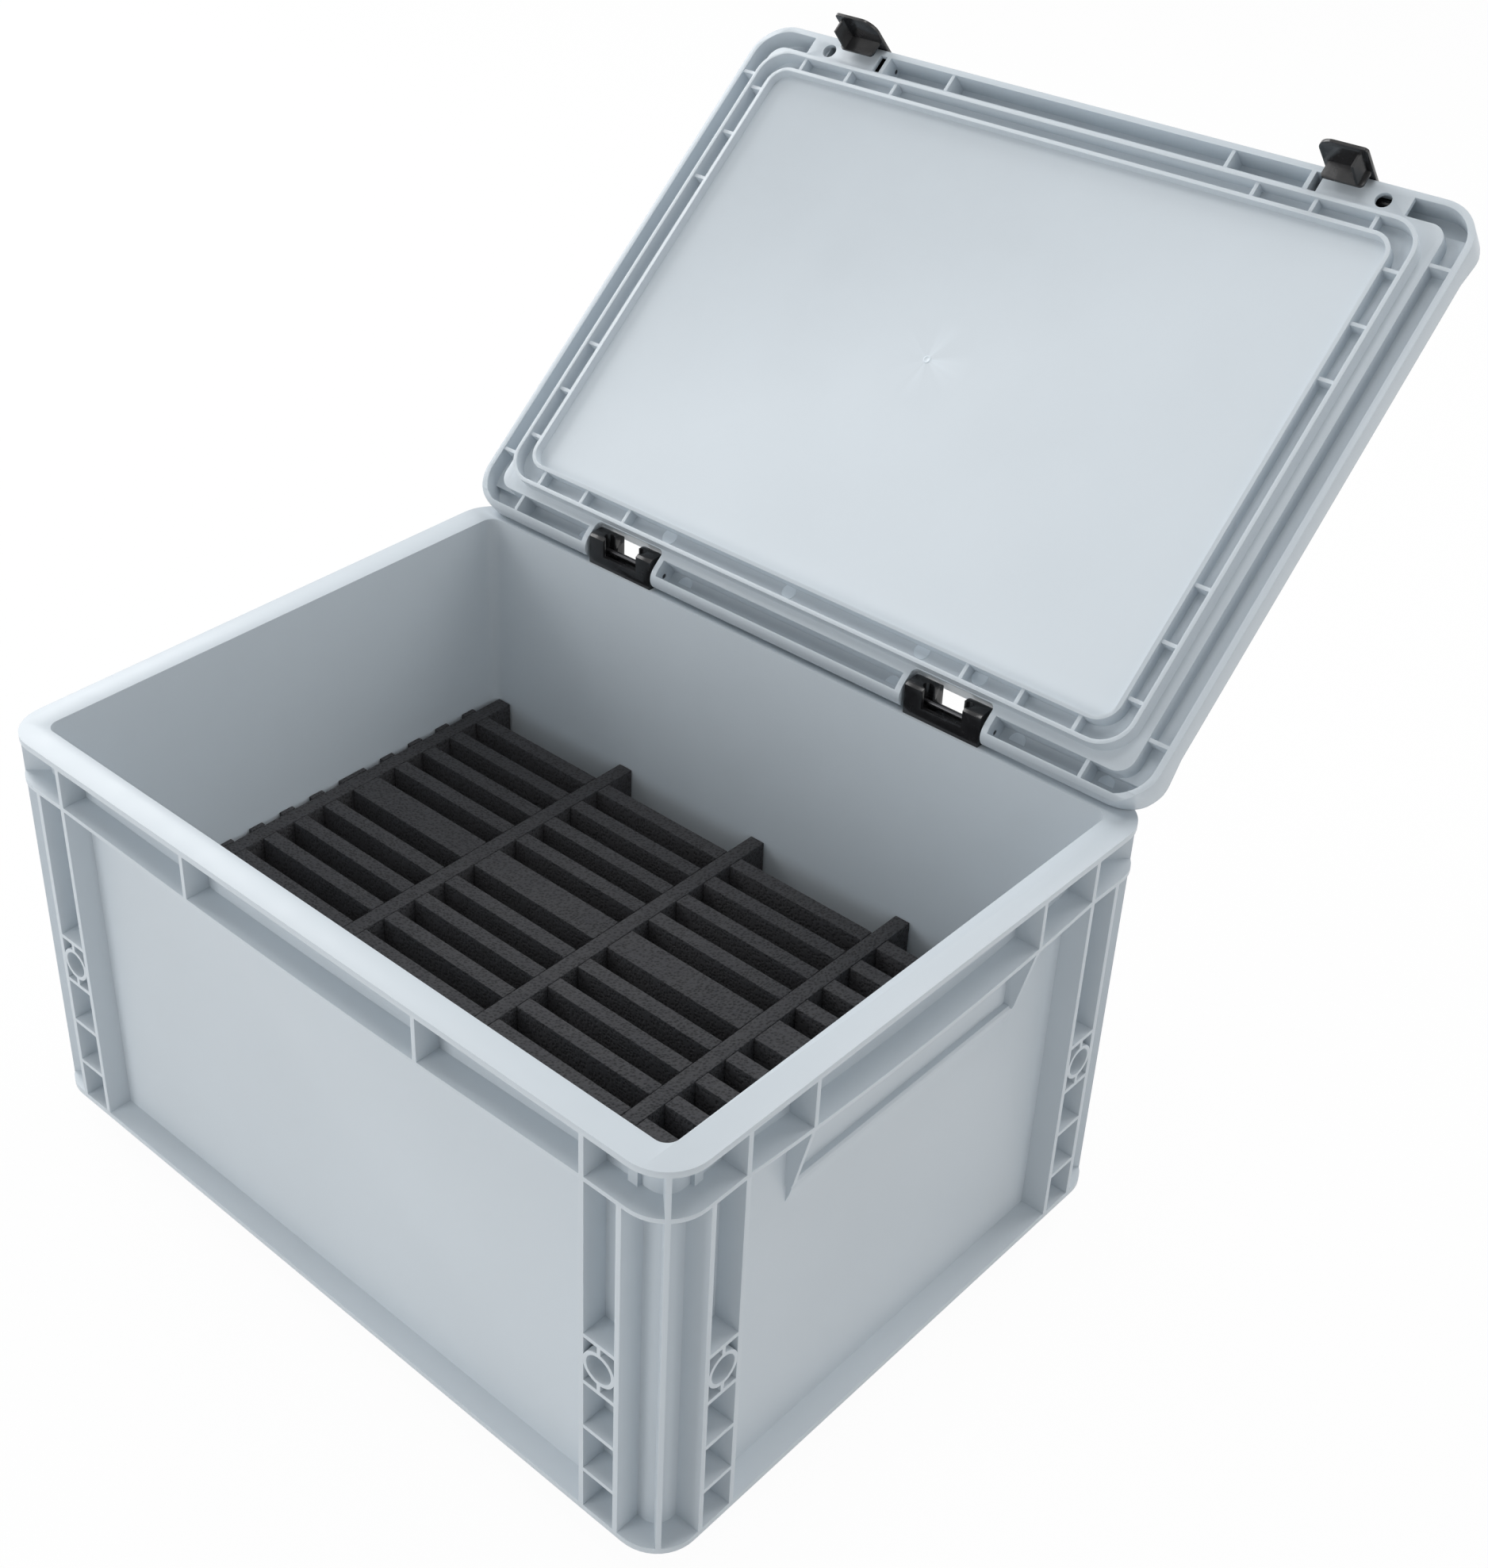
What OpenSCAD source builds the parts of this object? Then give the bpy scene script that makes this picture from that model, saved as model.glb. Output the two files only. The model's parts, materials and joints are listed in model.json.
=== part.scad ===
// Stacking container with a hinged lid, two snap latches and a slotted foam insert.
// The origin is the centre of the base, on the surface that the container stands on.
// X runs along the long sides, the latches are at -Y and the hinges at +Y.
// The lid is drawn shut and then turned about its hinge to the open position.

/* [Container] */
// Outer length, along X
box_l = 400; // [360:1:480]
// Outer width, along Y
box_w = 300; // [280:1:360]
// Height to the top of the rim
box_h = 220; // [190:1:320]
// Radius of the outer vertical corners
corner_r = 20; // [16:0.5:23]
// Thickness of the tub wall
wall_t = 2.2; // [1.6:0.1:3]
// Distance from the outer outline to the outer face of the wall
wall_inset = 11.8; // [10:0.1:14]
// Radius of the tub's vertical corners, outside
tub_r = 8.2; // [5:0.1:12]
// Thickness of the floor
floor_t = 2.5; // [2:0.1:4]
// Height of the stacking foot below the bottom flange
foot_h = 15.5; // [10:0.5:20]
// Radius of the foot's vertical corners
foot_r = 6; // [4:0.5:12]
// Thickness of the bottom flange
flange_t = 3; // [2:0.1:4]

/* [Collar] */
// Thickness of the rim plate
rim_t = 3; // [2:0.1:4]
// Height of the collar at the pillars, rim plate included
collar_h = 24.6; // [22:0.1:34]
// Thickness of the collar's bottom and upright ribs
collar_rib_t = 2.2; // [1.6:0.1:3]
// How far the collar's lower edge sags at the middle of a long side
bow_long = 2.8; // [0:0.1:6]
// How far the collar's lower edge sags at the middle of a short side
bow_short = 5; // [0:0.1:8]
// Distance of a long side's middle ribs from its centre
mid_rib_x = 70.5; // [50:0.5:100]
// Distance of a short side's middle ribs from its centre, the hand hold's half width
mid_rib_y = 70.8; // [50:0.1:85]
// How far the band under the rim plate stands proud of the wall
root_t = 3; // [1:0.1:4]
// Height of the band under the rim plate
root_h = 7; // [4:0.5:12]

/* [Corner pillars] */
// Distance of the outer pillar rib from the corner
rib_a = 42; // [38:0.5:50]
// Distance of the inner pillar rib from the corner
rib_b = 23.7; // [21:0.1:27]
// Thickness of the pillar ribs
pillar_rib_t = 2.5; // [1.6:0.1:3]
// Thickness of the rungs
rung_t = 2; // [1.4:0.1:3]
// Height of the lowest rung
rung_z = 40.2; // [35:0.1:50]
// Pitch of the rungs
rung_pitch = 25.4; // [22:0.1:30]
// Number of rungs in each ladder
rung_count = 4; // [3:1:5]
// Wall of the ring between the two highest rungs
ring_t = 1.8; // [1.2:0.1:2.5]
// Width of the post beside each inner pillar rib, above the highest rung
post_w = 3.6; // [2:0.1:5]
// How far that post stands proud of the wall
post_out = 2; // [1:0.1:3]
// Distance from the highest rung to the post's rounded end
post_from = 4; // [2:0.5:10]

/* [Hand holds] */
// Height of the finger ledge above the base
ledge_z = 159; // [140:1:170]
// How far the finger ledge stands proud of the wall
ledge_out = 2.6; // [1:0.1:4]
// Height of the ledge's slope into the wall
ledge_fall = 11; // [6:0.5:20]
// How far the hand hold's end plates stand proud of the wall at the ledge
plate_out = 3.8; // [3:0.1:6]
// Depth of the recess behind the grip
grip_recess = 1; // [0.4:0.1:1.2]

/* [Lid] */
// Gap between the rim and the shut lid
lid_gap = 0.3; // [0.2:0.05:0.5]
// Height of the lid's front and rear strips
lid_h = 15; // [13:0.5:18]
// Height of the lid's side strips
lid_side_h = 11; // [8:0.5:12.5]
// Length of the slope from the side strips up to the front and rear strips
end_slope = 16; // [4:0.5:24]
// Thickness of the lid's plates and inner walls
lid_t = 2.5; // [1.8:0.1:3]
// Thickness of the lid's skirt
skirt_t = 3; // [2:0.1:3.5]
// Distance from the outer outline to the inner wall of the outer channel
land_inset = 12.5; // [11:0.1:13.5]
// Radius of the land's corners
land_r = 8; // [5:0.5:12]
// Distance from the outer outline to the middle of the sealing rib
seal_inset = 18.2; // [17:0.1:20]
// Radius of the sealing rib's corners
seal_r = 15; // [8:0.5:18]
// Distance from the outer outline to the middle of the inner rib
inner_inset = 27.7; // [25:0.1:32]
// Radius of the inner rib's corners
inner_r = 10; // [6:0.5:14]
// Thickness of the sealing and inner ribs
lid_rib_t = 2; // [1.4:0.1:2.6]
// How far the sealing and inner ribs reach below the lip
lid_rib_drop = 8; // [6:0.5:10]
// How far the centre panel lies below the land
panel_drop = 3; // [1:0.5:4]
// How far the cross ribs in the inner channel reach below the lip
cross_drop = 6.5; // [4:0.5:7]
// Thickness of the cross ribs
cross_t = 1.8; // [1.2:0.1:2.4]
// Distance of a long side's first inner cross rib from the lid's end
cross_end_x = 41; // [36:0.5:50]
// Pitch of a long side's inner cross ribs
cross_pitch_x = 29; // [20:0.5:36]
// Distance of a short side's first inner cross rib from the lid's corner
cross_end_y = 42; // [36:0.5:50]
// Pitch of a short side's inner cross ribs
cross_pitch_y = 28; // [20:0.5:32]
// Distance of the front channel's cross ribs from the centre
channel_rib_x = 78.5; // [60:0.5:100]
// Distance of the side and rear channels' cross ribs from the corner
channel_rib_end = 31; // [26:0.5:40]
// How far the lid stands open, from shut
lid_open = 138.7; // [100:0.1:138.7]

/* [Hinges] */
// Distance of each hinge from the centre, along X
hinge_x = 97.25; // [80:0.25:120]
// Height of the hinge axis above the rim
hinge_h = 7.5; // [7.5:0.1:8]
// Gap between the rim and the lid's rolled rear edge as it turns
roll_gap = 0.5; // [0.4:0.1:0.8]
// Radius of the lid's top rear edge
top_edge_r = 8; // [7.8:0.1:9]
// Width of a hinge block
block_w = 40.5; // [36:0.5:44]
// Width of each cheek of a hinge block, at the front
cheek_w = 9.4; // [8:0.1:12]
// How much wider each cheek is at the back
cheek_step = 3; // [0:0.1:4]
// Gap between a cheek's front and the lid's window
window_gap = 4.3; // [3:0.1:5]
// Gap between a cheek's side and the lid's window wall
window_side = 1.7; // [1.6:0.1:4]
// Radius of the window's corners
window_r = 3; // [1:0.1:3]
// Thickness of the lid's window walls
window_wall_t = 3; // [2:0.1:4]
// Radius of the hinge pin
hinge_pin_r = 1.2; // [1:0.1:2.5]
// Radius of the pegs that hold a hinge block in the rim
peg_r = 2; // [1.5:0.1:2.5]
// Distance from the hinge axis to the front of the block's web
web_out = 5.5; // [5:0.1:6]
// Thickness of the block's foot and web
web_t = 2.5; // [2:0.1:3]
// Height of the web between the cheeks
web_h = 6; // [4:0.1:7]
// Radius of the upright groove in the inner side of each cheek
groove_r = 2.4; // [1.5:0.1:3]

/* [Latches] */
// Distance of each latch's inner end from the centre, along X
latch_x = 122; // [112:0.1:126]
// Width of the latch plate
latch_w = 24.3; // [22:0.1:28]
// Length of the latch's knuckle
knuckle_l = 35.4; // [30:0.1:38]
// How far the knuckle reaches past the plate's inner end
knuckle_past = 1.4; // [0:0.1:2.5]
// Thickness of the latch plate
latch_t = 1.5; // [1.2:0.1:2]
// How far the latch plate reaches below the rim
latch_drop = 21.5; // [19:0.5:22]
// Radius of the plate's lower corner towards the middle of the box
latch_r_in = 8; // [4:0.5:10]
// Radius of the plate's other lower corner
latch_r_out = 2; // [1:0.5:4]
// Height of the latch axis above the lip of the lid
latch_axis_h = 9.7; // [9.5:0.1:9.9]
// Distance of the latch axis behind the front face
latch_axis_in = 4.6; // [4.5:0.1:4.8]
// Radius of the latch's knuckle
knuckle_r = 2.5; // [2.2:0.05:2.5]
// Radius of the latch pin
latch_pin_r = 1.25; // [1:0.05:1.7]
// Thickness of the walls that hold the latch pin
bearing_t = 2.3; // [1.8:0.1:3]
// Reach of the hook under the rim plate
hook_reach = 7.8; // [6:0.1:7.8]
// Thickness of the hook
hook_t = 1.3; // [1:0.1:1.6]
// Gap between the rim plate and the hook of the shut latch
hook_gap = 1; // [0.9:0.1:1.4]
// Distance of the hook's ends from the plate's ends, inner and outer
hook_in = [2.7, 1.1];
// Height of the gusset behind the hook
gusset_h = 13.2; // [10:0.1:14]
// Thickness of the gusset
gusset_t = 1.3; // [1:0.1:2]
// How far the latch stands out, from shut
latch_open = 0; // [0:1:60]
// Distance from the latch plate's inner end to the pad
pad_from = 2; // [0.8:0.1:3]
// Distance from the latch's knuckle to the end of the pad
pad_past = 10.5; // [8:0.1:13]
// Diameter of the round hole in the pad beside each latch
pad_hole_d = 7.5; // [5:0.5:9]
// Distance of that hole from the latch plate, along X
pad_hole_x = 8; // [6:0.1:9]
// Distance of that hole from the front face
pad_hole_y = 8; // [6:0.5:9]

/* [Foam insert] */
// Thickness of the foam strips
foam_t = 8.3; // [6:0.1:10]
// Height of the foam strips
foam_h = 92; // [60:1:110]
// Gap that holds one phone, along Y
slot_gap = 11; // [8:0.5:12]
// Thickness of the broad strip between the two groups of rows
broad_t = 17; // [8:0.5:20]
// How far the rows lie behind the centre
rows_shift = 3.5; // [0:0.5:6]
// Gap between the tub's wall and the end cross strips
column_end = 3.25; // [1:0.05:8]
// Clearance of the foam at its notches and at the walls
foam_gap = 0.3; // [0.2:0.05:0.6]

/* [Fits] */
// Radial clearance of a turning pin
run_fit = 0.08; // [0.03:0.01:0.1]
// Radial clearance of a fixed pin
still_fit = 0.02; // [0.01:0.01:0.03]
// Side clearance of moving pieces
side_gap = 0.8; // [0.5:0.1:1]
// Gap between the shut latch plate and the front face
plate_gap = 0.4; // [0.3:0.05:0.5]

/* [Hidden] */
$fn = 64;
plastic_grey = [0.69, 0.73, 0.76];
clip_black = [0.05, 0.05, 0.055];
foam_black = [0.09, 0.09, 0.1];
dark_steel = [0.2, 0.2, 0.21];
eps = 0.5;                       // how far a cut passes the face it opens
half_l = box_l / 2;
half_w = box_w / 2;
wall_l = box_l - 2 * wall_inset; // outer faces of the tub wall
wall_w = box_w - 2 * wall_inset;
inner_l = wall_l - 2 * wall_t;   // inner faces of the tub wall
inner_w = wall_w - 2 * wall_t;
stack_gap = 4.6;                 // play of the foot in the lid's recess, clear of the hinge windows
foot_l = box_l - 2 * (land_inset + lid_t + stack_gap);
foot_w = box_w - 2 * (land_inset + lid_t + stack_gap);
shelf_z = foot_h + flange_t;     // top of the bottom flange
collar_z = box_h - collar_h;
post_z = rung_z + (rung_count - 1) * rung_pitch + post_from + post_w / 2;
rim_z = box_h - rim_t;           // underside of the rim plate
lip_z = box_h + lid_gap;         // lower edge of the shut lid
lid_top = lip_z + lid_h;
side_top = lip_z + lid_side_h;
channel_top = lid_top - lid_t;   // roof of the front and rear channels
side_channel_top = side_top - lid_t + 0.5;
land_l = box_l - 2 * land_inset;
land_w = box_w - 2 * land_inset;
recess_w = land_w - 2 * lid_t;
hinge_z = box_h + hinge_h;
roll_r = hinge_h - roll_gap;
hinge_y = half_w - roll_r;
block_top = lid_top + 1;
block_front = hinge_y - web_out;
block_back = half_w - 0.5;
cheek_r = web_out + window_gap - 2 * lid_gap;
window_w = block_w + 2 * window_side;
window_front = block_front - window_gap;
latch_y = -half_w + latch_axis_in;
latch_z = lip_z + latch_axis_h;
knuckle_x = latch_x - knuckle_past;
strip_pitch = foam_t + slot_gap;
front_rows = 7;                  // rows of slots in front of the broad strip; each strip is a node
rear_rows = 4;                   // rows of slots behind the broad strip
column_count = 4;
column_pitch = (inner_l - foam_t - 2 * column_end) / column_count;
row_strips = front_rows + rear_rows + 1;
rows_w = front_rows * strip_pitch + broad_t + rear_rows * strip_pitch;
rows_front = rows_shift - rows_w / 2;

// ---- plain shapes ----

// Rounded rectangle about the origin
module rounded_rect(l, w, r) {
    square([l - 2 * r, w], center = true);
    square([l, w - 2 * r], center = true);
    for (x = [-1, 1], y = [-1, 1])
        translate([x * (l / 2 - r), y * (w / 2 - r)]) circle(r);
}

// Plate with rounded corners between two heights
module slab(l, w, r, z0, z1) {
    translate([0, 0, z0]) linear_extrude(z1 - z0) rounded_rect(l, w, r);
}

// Wall of thickness t that follows a rounded rectangle, its middle line on that outline
module ring_wall(l, w, r, t, z0, z1) {
    difference() {
        slab(l + t, w + t, r + t / 2, z0, z1);
        slab(l - t, w - t, r - t / 2, z0 - eps, z1 + eps);
    }
}

// Block between two corners
module block(low, high) {
    translate(low) cube(high - low);
}

// Extrudes an outline drawn in Y and Z along X, from x0 to x1
module along_x(x0, x1) {
    translate([x0, 0, 0]) rotate([90, 0, 90]) linear_extrude(x1 - x0) children();
}

// Extrudes an outline drawn in X and Z along Y, from y0 to y1
module along_y(y0, y1) {
    translate([0, y1, 0]) rotate([90, 0, 0]) linear_extrude(y1 - y0) children();
}

// Round bar along X
module bar_x(x0, x1, y, z, r) {
    translate([x0, y, z]) rotate([0, 90, 0]) cylinder(h = x1 - x0, r = r);
}

module both_sides_x() {
    children();
    mirror([1, 0, 0]) children();
}

module both_sides_y() {
    children();
    mirror([0, 1, 0]) children();
}

// ---- container ----

// Lower edge of the collar at distance x from a side's middle: an arc that meets the pillars
function collar_edge(x, half, bow) = collar_z - bow * (1 - pow(x / half, 2));

// Strip of the collar's bottom rib between the two outer pillar ribs of one side
module bowed_strip(half, bow) {
    steps = 16;
    lower = [for (i = [0:steps]) let (x = half * (2 * i / steps - 1)) [x, collar_edge(x, half, bow)]];
    upper = [for (i = [steps:-1:0]) [lower[i][0], lower[i][1] + collar_rib_t]];
    polygon(concat(lower, upper));
}

// Ring between the two highest rungs, with a spoke above and below it
module ladder_ring(x, y0, y1) {
    z = rung_z + (rung_count - 1.5) * rung_pitch;
    r = (rib_a - rib_b - pillar_rib_t) / 2 + 0.35;
    along_y(y0, y1) {
        difference() {
            translate([x, z]) circle(r);
            translate([x, z]) circle(r - ring_t);
        }
        for (s = [-1, 1])
            translate([x - ring_t / 2, z + s * (r + rung_pitch / 2) / 2 - (rung_pitch / 2 - r + 1) / 2])
                square([ring_t, rung_pitch / 2 - r + 1]);
    }
}

// Ladder of two ribs, rungs and a ring at the right end of a side
module ladder(half, y0, y1) {
    a = half - rib_a;
    b = half - rib_b;
    along_y(y0, y1) {
        translate([a - pillar_rib_t / 2, shelf_z - eps]) square([pillar_rib_t, rim_z - shelf_z + 2 * eps]);
        translate([b - pillar_rib_t / 2, shelf_z - eps]) square([pillar_rib_t, collar_z - shelf_z + 2 * eps]);
        for (i = [0:rung_count - 1])
            translate([a, rung_z + i * rung_pitch - rung_t / 2]) square([b - a, rung_t]);
    }
    ladder_ring((a + b) / 2, y0, y1);
    post_x = b - (pillar_rib_t + post_w) / 2;
    along_y(y0 + wall_inset - post_out, y1) {
        translate([post_x, post_z]) circle(post_w / 2);
        translate([post_x - post_w / 2, post_z]) square([post_w + 1, rim_z - post_z + eps]);
    }
}

// Ribs of one side, drawn with the side facing -Y; half and depth are its half length and distance
module side_ribs(half, depth, bow, mid) {
    y0 = -depth;
    y1 = -depth + wall_inset + wall_t / 2;
    both_sides_x() ladder(half, y0, y1);
    along_y(y0, y1) {
        bowed_strip(half - rib_a, bow);
        for (s = [-1, 1])
            translate([s * mid - collar_rib_t / 2, collar_edge(mid, half - rib_a, bow) + collar_rib_t / 2])
                square([collar_rib_t, rim_z - collar_edge(mid, half - rib_a, bow)]);
    }
}

// Hand hold of one short side: end plates under the grip and a finger ledge
module hand_hold() {
    edge = collar_edge(mid_rib_y, half_w - rib_a, bow_short);
    face = -half_l + wall_inset;
    both_sides_x() along_x(mid_rib_y - collar_rib_t / 2, mid_rib_y + collar_rib_t / 2)
        polygon([
            [face + wall_t / 2, edge + 1],
            [-half_l + 1, edge + 1],
            [-half_l + 1, edge - 2],
            [face - plate_out, ledge_z + 1],
            [face - plate_out + 0.8, ledge_z - 1],
            [face + wall_t / 2, ledge_z - 2]
        ]);
    along_x(-mid_rib_y, mid_rib_y)
        polygon([
            [face + wall_t / 2, ledge_z],
            [face - 0.6 * ledge_out, ledge_z],
            [face - 0.9 * ledge_out, ledge_z - 0.1 * ledge_fall],
            [face - ledge_out, ledge_z - 0.22 * ledge_fall],
            [face - 0.7 * ledge_out, ledge_z - 0.5 * ledge_fall],
            [face, ledge_z - ledge_fall],
            [face + wall_t / 2, ledge_z - ledge_fall]
        ]);
}

// Recess in the wall behind one grip
module grip_cut() {
    edge = collar_edge(mid_rib_y, half_w - rib_a, bow_short);
    w = mid_rib_y - collar_rib_t / 2;
    block([-w, -half_l + wall_inset - ledge_out - eps, ledge_z], [w, -half_l + wall_inset + grip_recess, edge]);
}

// Rib across one vertical corner, from the tub's corner to the outer one
module corner_rib() {
    reach = corner_r + norm([wall_inset, wall_inset]);
    intersection() {
        translate([half_l - corner_r, half_w - corner_r, 0]) rotate([0, 0, 45])
            block([-1, -collar_rib_t / 2, shelf_z - eps], [reach, collar_rib_t / 2, rim_z + eps]);
        slab(box_l, box_w, corner_r, 0, box_h);
    }
}

// The collar's bottom rib around the four corners
module collar_corners() {
    intersection() {
        difference() {
            slab(box_l, box_w, corner_r, collar_z, collar_z + collar_rib_t);
            slab(wall_l - wall_t, wall_w - wall_t, tub_r - wall_t / 2, collar_z - eps, box_h);
        }
        for (x = [-1, 1], y = [-1, 1])
            translate([x * (half_l - rib_a / 2), y * (half_w - rib_a / 2), collar_z])
                cube([rib_a, rib_a, 4 * collar_rib_t], center = true);
    }
}

module container() {
    color(plastic_grey) difference() {
        union() {
            slab(foot_l, foot_w, foot_r, 0, shelf_z);
            slab(box_l, box_w, corner_r, foot_h, shelf_z);
            slab(wall_l, wall_w, tub_r, foot_h, box_h);
            slab(wall_l + 2 * root_t, wall_w + 2 * root_t, tub_r + root_t, rim_z - root_h, rim_z + eps);
            slab(box_l, box_w, corner_r, rim_z, box_h);
            both_sides_y() side_ribs(half_l, half_w, bow_long, mid_rib_x);
            both_sides_x() rotate([0, 0, -90]) {
                difference() {
                    side_ribs(half_w, half_l, bow_short, mid_rib_y);
                    grip_cut();
                }
                hand_hold();
            }
            both_sides_x() both_sides_y() corner_rib();
            collar_corners();
        }
        slab(inner_l, inner_w, tub_r - wall_t, shelf_z, box_h + eps);
        slab(foot_l - 2 * wall_t, foot_w - 2 * wall_t, foot_r - wall_t, floor_t, box_h);
        both_sides_x() rotate([0, 0, -90]) grip_cut();
        both_sides_x() for (s = [-1, 1])
            translate([hinge_x + s * block_w / 4, hinge_y, rim_z - root_h - 1])
                cylinder(h = root_h + rim_t + 2, r = peg_r + still_fit);
    }
}

// ---- lid, drawn shut ----

// Outline in Y and Z that is cut off the rear strip, so that it rolls over the rim
module roll_waste() {
    difference() {
        translate([hinge_y, lip_z - 1]) square([roll_r + 1, hinge_z - lip_z + 1]);
        translate([hinge_y, hinge_z]) circle(roll_r);
    }
    difference() {
        translate([half_w - top_edge_r, lid_top - top_edge_r]) square(top_edge_r + 1);
        translate([half_w - top_edge_r, lid_top - top_edge_r]) circle(top_edge_r);
    }
}

// Hollow of the rear channel in Y and Z, inside the rolled edge
module rear_hollow() {
    y0 = land_w / 2;
    translate([y0, lip_z - 1]) square([half_w - top_edge_r - y0, channel_top - lip_z + 1]);
    translate([half_w - top_edge_r, lid_top - top_edge_r]) circle(top_edge_r - skirt_t);
    translate([hinge_y, hinge_z]) circle(roll_r - skirt_t + 0.2);
    translate([hinge_y - 1, lip_z - 1]) square([roll_r - skirt_t, hinge_z - lip_z - skirt_t + 1]);
}

// Hollow of the front channel in Y and Z
module front_hollow() {
    translate([-half_w + skirt_t, lip_z - 1]) square([land_inset - skirt_t, channel_top - lip_z + 1]);
}

// Raised border with its skirt and channels
module lid_border() {
    hollow_half = half_l - skirt_t;
    difference() {
        union() {
            slab(box_l, box_w, corner_r, lip_z, side_top);
            intersection() {
                slab(box_l, box_w, corner_r, lip_z, lid_top);
                both_sides_y() along_x(-half_l, half_l)
                    polygon([
                        [half_w, lip_z],
                        [half_w, lid_top],
                        [recess_w / 2, lid_top],
                        [recess_w / 2 - end_slope, side_top],
                        [recess_w / 2 - end_slope, lip_z]
                    ]);
            }
        }
        slab(land_l - 2 * lid_t, recess_w, land_r - lid_t, lip_z - 1, lid_top + 1);
        difference() {
            slab(box_l - 2 * skirt_t, box_w - 2 * skirt_t, corner_r - skirt_t, lip_z - 1, side_channel_top);
            slab(land_l, land_w, land_r, lip_z - 2, side_channel_top + 1);
            block([-half_l, hinge_y - 1, lip_z - 2], [half_l, half_w, side_channel_top + 1]);
        }
        intersection() {
            slab(box_l - 2 * skirt_t, box_w - 2 * skirt_t, corner_r - skirt_t, lip_z - 1, channel_top);
            union() {
                along_x(-hollow_half, hollow_half) front_hollow();
                along_x(-hollow_half, hollow_half) rear_hollow();
            }
        }
    }
}

// Floor of the recess, sealing rib, inner rib and centre panel
module lid_floor() {
    inner_rib_l = box_l - 2 * inner_inset;
    inner_rib_w = box_w - 2 * inner_inset;
    inside_l = inner_rib_l - lid_rib_t;
    inside_w = inner_rib_w - lid_rib_t;
    inside_r = inner_r - lid_rib_t / 2;
    panel_z = lip_z - panel_drop;
    difference() {
        union() {
            slab(land_l, land_w, land_r, lip_z, lip_z + lid_t);
            slab(inside_l + lid_t, inside_w + lid_t, inside_r + lid_t / 2, panel_z, lip_z + lid_t);
        }
        slab(inside_l - 2 * lid_t, inside_w - 2 * lid_t, inside_r - lid_t, panel_z + lid_t, lip_z + lid_t + 1);
    }
    ring_wall(box_l - 2 * seal_inset, box_w - 2 * seal_inset, seal_r, lid_rib_t, lip_z - lid_rib_drop, lip_z + 1);
    ring_wall(inner_rib_l, inner_rib_w, inner_r, lid_rib_t, lip_z - lid_rib_drop, lip_z + 1);
}

// Short ribs across the inner channel
module inner_cross_ribs() {
    gap_out = seal_inset + lid_rib_t / 4;
    gap_in = inner_inset - lid_rib_t / 4;
    z0 = lip_z - cross_drop;
    both_sides_y() for (x = [-1, 1], i = [0:2])
        translate([x * (half_l - cross_end_x - i * cross_pitch_x), 0, 0])
            block([-cross_t / 2, half_w - gap_in, z0], [cross_t / 2, half_w - gap_out, lip_z + 1]);
    both_sides_x() for (y = [-1, 1], i = [0:2])
        translate([0, y * (half_w - cross_end_y - i * cross_pitch_y), 0])
            block([half_l - gap_in, -cross_t / 2, z0], [half_l - gap_out, cross_t / 2, lip_z + 1]);
}

// Ribs across the outer channel
module outer_cross_ribs() {
    z0 = lip_z + 0.5;
    t = cross_t / 2;
    both_sides_x() {
        translate([channel_rib_x, 0, 0])
            block([-t, -half_w + 1, z0], [t, -land_w / 2 + 1, channel_top + 1]);
        for (s = [-1, 1])
            translate([0, s * (half_w - channel_rib_end), 0])
                block([land_l / 2 - 1, -t, z0], [half_l - 1, t, side_channel_top + 1]);
        intersection() {
            translate([half_l - channel_rib_end, 0, 0]) block([-t, land_w / 2 - 1, z0], [t, half_w, lid_top]);
            slab(box_l, box_w, corner_r, lip_z, lid_top);
        }
    }
}

// Walls around one hinge window
module window_walls() {
    x0 = hinge_x - window_w / 2;
    x1 = hinge_x + window_w / 2;
    y0 = window_front - lid_t;
    for (x = [x0 - window_wall_t, x1])
        block([x, y0, lip_z], [x + window_wall_t, half_w, lid_top]);
    block([x0 - 1, y0, lip_z], [x1 + 1, window_front, lid_top]);
}

// Pad and bearing walls around one latch; a slit parts the pad from the inner wall
module latch_seat() {
    x0 = knuckle_x - side_gap;
    x1 = knuckle_x + knuckle_l + side_gap;
    y0 = -half_w + skirt_t / 2;
    y1 = -land_w / 2 + 1;
    block([latch_x + pad_from, -half_w, lip_z], [knuckle_x + knuckle_l + pad_past, y1, lip_z + lid_t]);
    block([x0 - bearing_t, y0, lip_z], [x0, y1, channel_top + 1]);
    block([x1, y0, lip_z + 1], [x1 + bearing_t, y1, channel_top + 1]);
}

// Openings for one latch
module latch_cuts() {
    x0 = knuckle_x - side_gap;
    x1 = knuckle_x + knuckle_l + side_gap;
    low = [latch_x - side_gap, -half_w - 1, lip_z + lid_t];
    block(low, [latch_x + latch_w + side_gap, latch_y + knuckle_r + 0.4, lid_top + 1]);
    bar_x(x0, x1, latch_y, latch_z, knuckle_r + 0.3);
    bar_x(x0 - bearing_t - 1, x1 + bearing_t + 1, latch_y, latch_z, latch_pin_r + still_fit);
    translate([latch_x + latch_w + pad_hole_x, -half_w + pad_hole_y, lip_z - 1])
        cylinder(h = lid_t + 2, d = pad_hole_d);
}

// Opening for one hinge
module window_cut() {
    x0 = hinge_x - window_w / 2;
    x1 = hinge_x + window_w / 2;
    translate([0, 0, lip_z - 1]) linear_extrude(lid_h + 2) {
        for (x = [x0 + window_r, x1 - window_r])
            translate([x, window_front + window_r]) circle(window_r);
        translate([x0 + window_r, window_front]) square([window_w - 2 * window_r, half_w]);
        translate([x0, window_front + window_r]) square([window_w, half_w]);
    }
    bar_x(x0 - window_wall_t - 1, x1 + window_wall_t + 1, hinge_y, hinge_z, hinge_pin_r + run_fit);
}

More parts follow.
